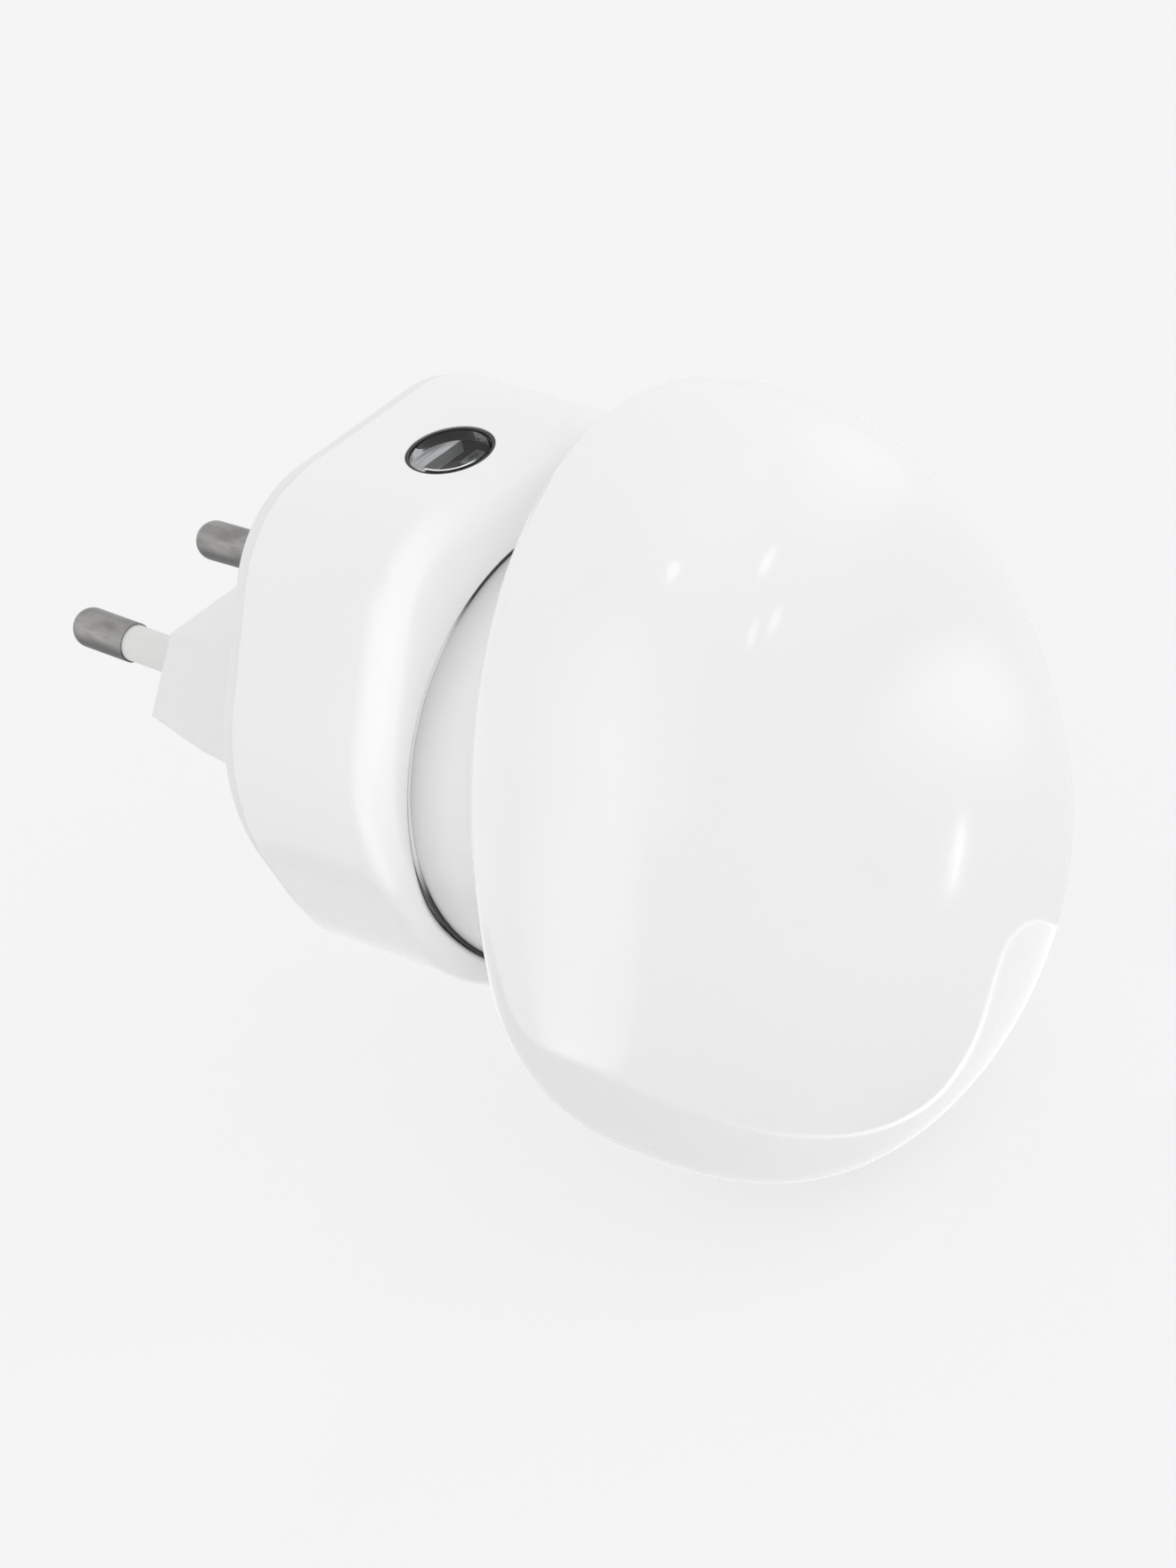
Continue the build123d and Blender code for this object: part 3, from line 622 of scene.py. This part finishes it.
# The way from the neck's axis to the side where the seal is pale, along X and up.
SEAL_SIDE = (-0.883, 0.469)
SAME_PLACE = 1e-7


def mesh_object(name, build, finish):
    """An object whose mesh comes from one building step."""
    mesh = bpy.data.meshes.new(name)
    bm = bmesh.new()
    build(bm)
    bm.to_mesh(mesh)
    bm.free()
    mesh.materials.append(finish)
    made = bpy.data.objects.new(name, mesh)
    bpy.context.scene.collection.objects.link(made)
    return made


def lamp_piece(name, build, finish, body):
    """A piece of the lamp, which moves with one of its bodies."""
    piece = mesh_object(name, build, finish)
    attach(piece, body)


def bridge(bm, loop, other):
    """Quads between two closed loops with the same number of points."""
    for k in range(len(loop)):
        after = (k + 1) % len(loop)
        bm.faces.new((loop[k], loop[after], other[after], other[k]))


def ring_band(bm, radii, depths, first=0.0, last=360.0, steps=144):
    """A flat ring about the neck's axis, or an arc of one, given in degrees."""
    inner, outer = radii
    rear, front = (front_y + depth for depth in depths)
    loops = []
    for step in range(steps + 1):
        angle = math.radians(first + (last - first) * step / steps)
        corners = ((inner, rear), (outer, rear), (outer, front), (inner, front))
        loops.append([
            bm.verts.new((radius * math.cos(angle), y, NECK_HEIGHT + radius * math.sin(angle)))
            for radius, y in corners
        ])
    for loop, other in zip(loops, loops[1:]):
        bridge(bm, loop, other)
    bmesh.ops.remove_doubles(bm, verts=bm.verts, dist=SAME_PLACE)
    bmesh.ops.recalc_face_normals(bm, faces=bm.faces)


def seal_felt():
    finish = Finish("seal_felt")
    fibre = finish.noise(6000.0, detail=3.0, rough=0.6)
    x, height = finish.along("X"), finish.along("Z") - NECK_HEIGHT
    # Painted shade: the seal is coloured dark where the gap is shaded, and pale at the side.
    side = (x * SEAL_SIDE[0] + height * SEAL_SIDE[1]).smooth(16.5 * MM, 20.0 * MM)
    return finish.solid(
        Base_Color=finish.mix(side, grey(0.05), paint(0.86, 0.86, 0.855)),
        Roughness=0.75 + 0.2 * fibre,
        Normal=finish.bump(fibre, 0.03 * MM),
    )


lamp_piece(
    "neck_seal", lambda bm: ring_band(bm, SEAL_RADII, SEAL_DEPTHS), seal_felt(),
    "base",
)
print("seal made behind the front at", round(front_y, 4))

# %% [markdown]
# ## The sill of the cup
#
# Just under the window, the rear of the sensor's cup has a pale flat sill. It is
# a thin plate in the form of a slice of a disc: one row of points on the arc,
# once for its underside and once for its top, and quads between the two. The
# window takes some light away from what lies under it, so the sill's finish
# glows faintly to make up for that.

# %% Sensor sill
SILL_OFFSET = 2.65 * MM
SILL_RADIUS = 4.9 * MM
SILL_LEVELS = (0.02 * MM, 0.06 * MM)
SILL_STEPS = 24


def sill_finish():
    finish = Finish("sill_grey")
    grain = finish.noise(1800.0, detail=2.0, rough=0.5)
    streak = finish.streaks(150.0, 1400.0, 1400.0, detail=2.0, rough=0.5)
    tone = finish.mix(
        streak.smooth(0.35, 0.65), paint(0.36, 0.36, 0.37), paint(0.62, 0.62, 0.63),
    )
    return finish.solid(
        Base_Color=tone,
        Roughness=0.4 + 0.1 * grain,
        Emission_Color=tone,
        Emission_Strength=0.45,
    )


def sill_plate(bm):
    """The part of a disc that lies behind a straight edge."""
    reach = math.acos(SILL_OFFSET / SILL_RADIUS)
    angles = [-reach + 2.0 * reach * step / SILL_STEPS for step in range(SILL_STEPS + 1)]
    loops = [
        [
            bm.verts.new((
                sensor_axis.x + SILL_RADIUS * math.sin(angle),
                sensor_axis.y + SILL_RADIUS * math.cos(angle),
                sensor_low.z + level,
            ))
            for angle in angles
        ]
        for level in SILL_LEVELS
    ]
    for loop in loops:
        bm.faces.new(loop)
    bridge(bm, *loops)
    bmesh.ops.recalc_face_normals(bm, faces=bm.faces)


lamp_piece("sensor_sill", sill_plate, sill_finish(), "base")
print("sill made at", round(sensor_low.z, 4))

# %% [markdown]
# ## Floor
#
# The lamp hangs just above a plain pale floor. The floor is partly self-lit for
# the camera, which evens it out and leaves a soft shadow. More light on the
# lamp would whiten the floor too, but would also clip the lamp's own whites.

# %% Floor
BACKDROP_WHITE = 0.913
FLOOR_SHARE = 0.78
FLOOR_RADIUS = 4.0
FLOOR_GAP = 0.8 * MM
floor_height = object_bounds()[0][2] - FLOOR_GAP


def floor_finish():
    finish = Finish("floor_white")
    grain = finish.noise(60.0, detail=2.0, rough=0.5)
    cloth = finish.made_of(
        Base_Color=finish.mix(grain, grey(0.90), grey(0.905)),
        Roughness=0.8,
        Specular_IOR_Level=0.2,
    )
    share = finish.node("ShaderNodeLightPath", out="Is Camera Ray") * FLOOR_SHARE
    return finish.end(finish.choose(share, cloth, finish.glow(BACKDROP_WHITE)))


def stage_object(name, build, finish):
    """An object of the studio, which isn't part of the lamp."""
    flat = mesh_object(name, build, finish)
    return flat


def disc(radius, segments):
    return lambda bm: bmesh.ops.create_circle(
        bm, cap_ends=True, segments=segments, radius=radius,
    )


floor = stage_object("floor", disc(FLOOR_RADIUS, 96), floor_finish())
floor.location = (0.0, 0.0, floor_height)
print("floor at", round(floor_height, 4))

# %% [markdown]
# ## Surroundings
#
# Most of the light comes evenly from all round, as in a tent of white cloth, so
# whites stay white without clipping. The camera, gloss and clear plastic see
# the backdrop's white instead of the tent, so a mirror image of the room and
# the room itself agree. One background could do both jobs, but then the light
# on the lamp could not be set on its own.

# %% Surroundings
TENT_LIGHT = 0.93


def tent_world():
    network = Network(bpy.data.worlds.new("tent"))
    tent, backdrop = (
        network.node("ShaderNodeBackground", Color=WHITE, Strength=strength)
        for strength in (TENT_LIGHT, BACKDROP_WHITE)
    )
    camera_ray, gloss_ray, clear_ray = (
        network.node("ShaderNodeLightPath", out="Is " + kind + " Ray")
        for kind in ("Camera", "Glossy", "Transmission")
    )
    seen = (camera_ray + gloss_ray + clear_ray).above(0.5)
    return network.end(network.choose(seen, tent, backdrop), "ShaderNodeOutputWorld")


bpy.context.scene.world = tent_world()
print("tent", TENT_LIGHT, "backdrop", BACKDROP_WHITE)

# %% [markdown]
# ## Soft boxes and cards
#
# A polished dome is only as lively as what it mirrors. Broad panels of cloth at
# its left give the long soft band, and four small bright cards give the marks
# that a real room's windows leave. A card is an oval sheet that glows most at
# its middle and fades to nothing at its rim, so no hard edge shows. Area lights
# would have hard edges in the gloss. The camera never sees a card, and only the
# two broad ones above and at the right also light the lamp.

# %% Cards
LAMP_MIDDLE = Vector((0.0, -30.0 * MM, 0.0))


def glow_finish(name, strength, softness):
    """A light that fades from the middle of its sheet towards the rim."""
    finish = Finish(name)
    radius = (finish.along("X") ** 2.0 + finish.along("Y") ** 2.0) ** 0.5
    share = 1.0 - radius.smooth(1.0 - softness, 1.0)
    return finish.end(finish.choose(share, finish.nothing(), finish.glow(strength)))


def unseen(sheet, gloss=True, lights=False):
    """Hides a sheet, but lets gloss mirror it or its light fall on the lamp."""
    sheet.visible_camera = False
    sheet.visible_shadow = False
    sheet.visible_transmission = False
    sheet.visible_glossy = gloss
    sheet.visible_diffuse = lights


def card(name, place, normal, size, strength, softness=1.0, turn=0.0, lights=False):
    """A glowing oval sheet of a width and height, turned by some degrees."""
    sheet = stage_object(name, disc(1.0, 48), glow_finish(name, strength, softness))
    spin = Matrix.Rotation(math.radians(turn), 3, "Z")
    sheet.location = place
    sheet.rotation_euler = (normal.to_track_quat("Z", "Y").to_matrix() @ spin).to_euler()
    sheet.scale = (size[0] / 2, size[1] / 2, 1.0)
    unseen(sheet, lights=lights)


def far_card(name, azimuth_degrees, elevation_degrees, wide, high, strength, **more):
    """A card a metre away in a given direction, as wide and high as two angles."""
    way = direction(azimuth_degrees, elevation_degrees)
    size = [2.0 * math.tan(math.radians(angle / 2)) for angle in (wide, high)]
    card(name, LAMP_MIDDLE + way, -way, size, strength, **more)


print("cards can be hung round", [round(v, 4) for v in LAMP_MIDDLE])

# %% Hang the cards
WINDOW_SOFTNESS = 0.5
# Each row has a name, the azimuth, elevation, width and height in degrees, and
# the strength.
PANELS = (
    ("side_panel", -98.0, 8.0, 76.0, 92.0, 2.1),
    ("side_soft", -60.0, 6.0, 84.0, 84.0, 1.5),
)
LIGHTING_PANELS = (
    ("top_cloth", -25.0, 78.0, 100.0, 100.0, 1.15),
    ("right_fill", 65.0, 15.0, 90.0, 70.0, 1.45),
)
WINDOWS = (
    ("window_high", -74.0, 58.0, 12.0, 9.0, 3.6),
    ("window_front", 12.0, 23.0, 12.0, 8.0, 3.4),
    ("window_low", 3.0, 9.0, 7.0, 6.0, 3.2),
    ("window_foot", 13.0, 3.5, 8.0, 5.0, 3.2),
)
for row in PANELS:
    far_card(*row)
for row in LIGHTING_PANELS:
    far_card(*row, lights=True)
for row in WINDOWS:
    far_card(*row, softness=WINDOW_SOFTNESS)
print("cards hung:", len(PANELS + LIGHTING_PANELS + WINDOWS))

# %% [markdown]
# ## The sheet on the table
#
# Under the lamp lies a rounded sheet, a shade duller than the table and with a
# bright edge. It is only met in the dome, as a band along its foot. Two flat
# pieces make it: the sheet, brighter towards the right, on a slightly wider
# one. Its outline could be a curve with handles. A few corners that are cut
# again and again give the same soft line and are quicker to move.

# %% Table sheet
SHEET_EDGE = (
    (-42, 20), (-43, -10), (-45, -29), (-48, -41), (-48, -55), (-44, -69),
    (-37, -78), (-29, -83), (-16, -85), (-3, -81), (5, -80), (14, -84),
    (24, -91), (31, -94), (36, -89), (35, -70), (34, -40), (34, 20),
)
SHEET_MIDDLE = Vector((10.0, -30.0))
CORNER_CUTS = 3
# Each row has a name, how much wider the layer is in millimetres, how high it
# lies, and how strongly its left and its right glow.
SHEET_LAYERS = (
    ("sheet_rim", 1.2, 0.3 * MM, 0.9, 2.8),
    ("sheet_face", 0.0, 0.6 * MM, 0.3, 1.3),
)


def rounded(points, times):
    """A closed outline with its corners cut again and again, so that it curves."""
    spots = [Vector(point) for point in points]
    for _ in range(times):
        pairs = list(zip(spots, spots[1:] + spots[:1]))
        spots = [spot for a, b in pairs for spot in (a * 0.75 + b * 0.25, a * 0.25 + b * 0.75)]
    return spots


def sheet_layer(wider):
    """A flat face of the sheet's outline, let out all round."""
    def build(bm):
        spots = rounded(SHEET_EDGE, CORNER_CUTS)
        out = [spot + (spot - SHEET_MIDDLE).normalized() * wider for spot in spots]
        bm.faces.new([bm.verts.new((spot.x * MM, spot.y * MM, 0.0)) for spot in out])

    return build


def sheet_finish(name, left, right):
    """A glow that changes across the sheet from one strength to another."""
    finish = Finish(name)
    share = finish.along("X").smooth(-55.0 * MM, 12.0 * MM)
    return finish.end(finish.choose(share, finish.glow(left), finish.glow(right)))


for name, wider, height, left, right in SHEET_LAYERS:
    layer = stage_object(name, sheet_layer(wider), sheet_finish(name, left, right))
    layer.location = (0.0, 0.0, floor_height + height)
    unseen(layer)
print("sheet laid in", len(SHEET_LAYERS), "layers")

# %% [markdown]
# ## Light off the table and the dome
#
# The dome hangs over the housing's front and shades it, but gives back some of
# the light that falls on its pale rear. A quarter of a ring between the two
# stands for that light, which is cheaper than more bounces. Two cards on the
# table and one long wedge are only met in the dome: a soft shine, a thin streak
# and a broad glow at its foot. The wedge fades from its middle line to its two
# sides, which an oval card can't do.

# %% Bounce and table cards
BOUNCE_RADII = (24.0 * MM, 31.0 * MM)
BOUNCE_DEPTHS = (-9.0 * MM, -9.05 * MM)
BOUNCE_LIGHT = 1.1
SHINE_PLACE = Vector((83.0 * MM, -139.0 * MM, floor_height + 0.9 * MM))
STREAK_PLACE = Vector((42.0 * MM, -116.5 * MM, floor_height + 1.2 * MM))
upwards = Vector((0.0, 0.0, 1.0))

bounce = stage_object(
    "bounce",
    lambda bm: ring_band(bm, BOUNCE_RADII, BOUNCE_DEPTHS, first=85.0, last=175.0, steps=24),
    sheet_finish("bounce", BOUNCE_LIGHT, BOUNCE_LIGHT),
)
unseen(bounce, gloss=False, lights=True)
card("table_shine", SHINE_PLACE, upwards, (90.0 * MM, 90.0 * MM), 2.0)
card(
    "table_streak", STREAK_PLACE, upwards, (1.6 * MM, 28.0 * MM), 7.0,
    softness=0.8, turn=63.0,
)
print("bounce and table cards placed")

# %% Table glow
GLOW_START = 20.0 * MM
GLOW_END = 1.4
GLOW_SLOPE = 0.60
GLOW_LIGHT = 1.9
GLOW_HEADING = 169.0


def wedge_finish(name, strength):
    """A glow on a long wedge, fading from its middle line to its two sides."""
    finish = Finish(name)
    slope_squared = (finish.along("Y") ** 2.0) * (finish.along("X") ** -2.0)
    share = slope_squared.smooth(0.0, GLOW_SLOPE ** 2)
    return finish.end(finish.choose(share, finish.glow(strength), finish.nothing()))


def wedge(bm):
    near, far = GLOW_SLOPE * GLOW_START, GLOW_SLOPE * GLOW_END
    corners = ((GLOW_START, -near), (GLOW_END, -far), (GLOW_END, far), (GLOW_START, near))
    bm.faces.new([bm.verts.new((x, y, 0.0)) for x, y in corners])


table_glow = stage_object("table_glow", wedge, wedge_finish("table_glow", GLOW_LIGHT))
table_glow.location = (-30.0 * MM, -45.0 * MM, floor_height + 0.9 * MM)
table_glow.rotation_euler = (0.0, 0.0, math.radians(GLOW_HEADING))
unseen(table_glow)
print("table glow at", [round(v, 4) for v in table_glow.location])

# %% [markdown]
# ## Last lines
#
# The colours are shown as they are, with no film look on top.

# %% Finish
bpy.context.scene.view_settings.view_transform = "Standard"
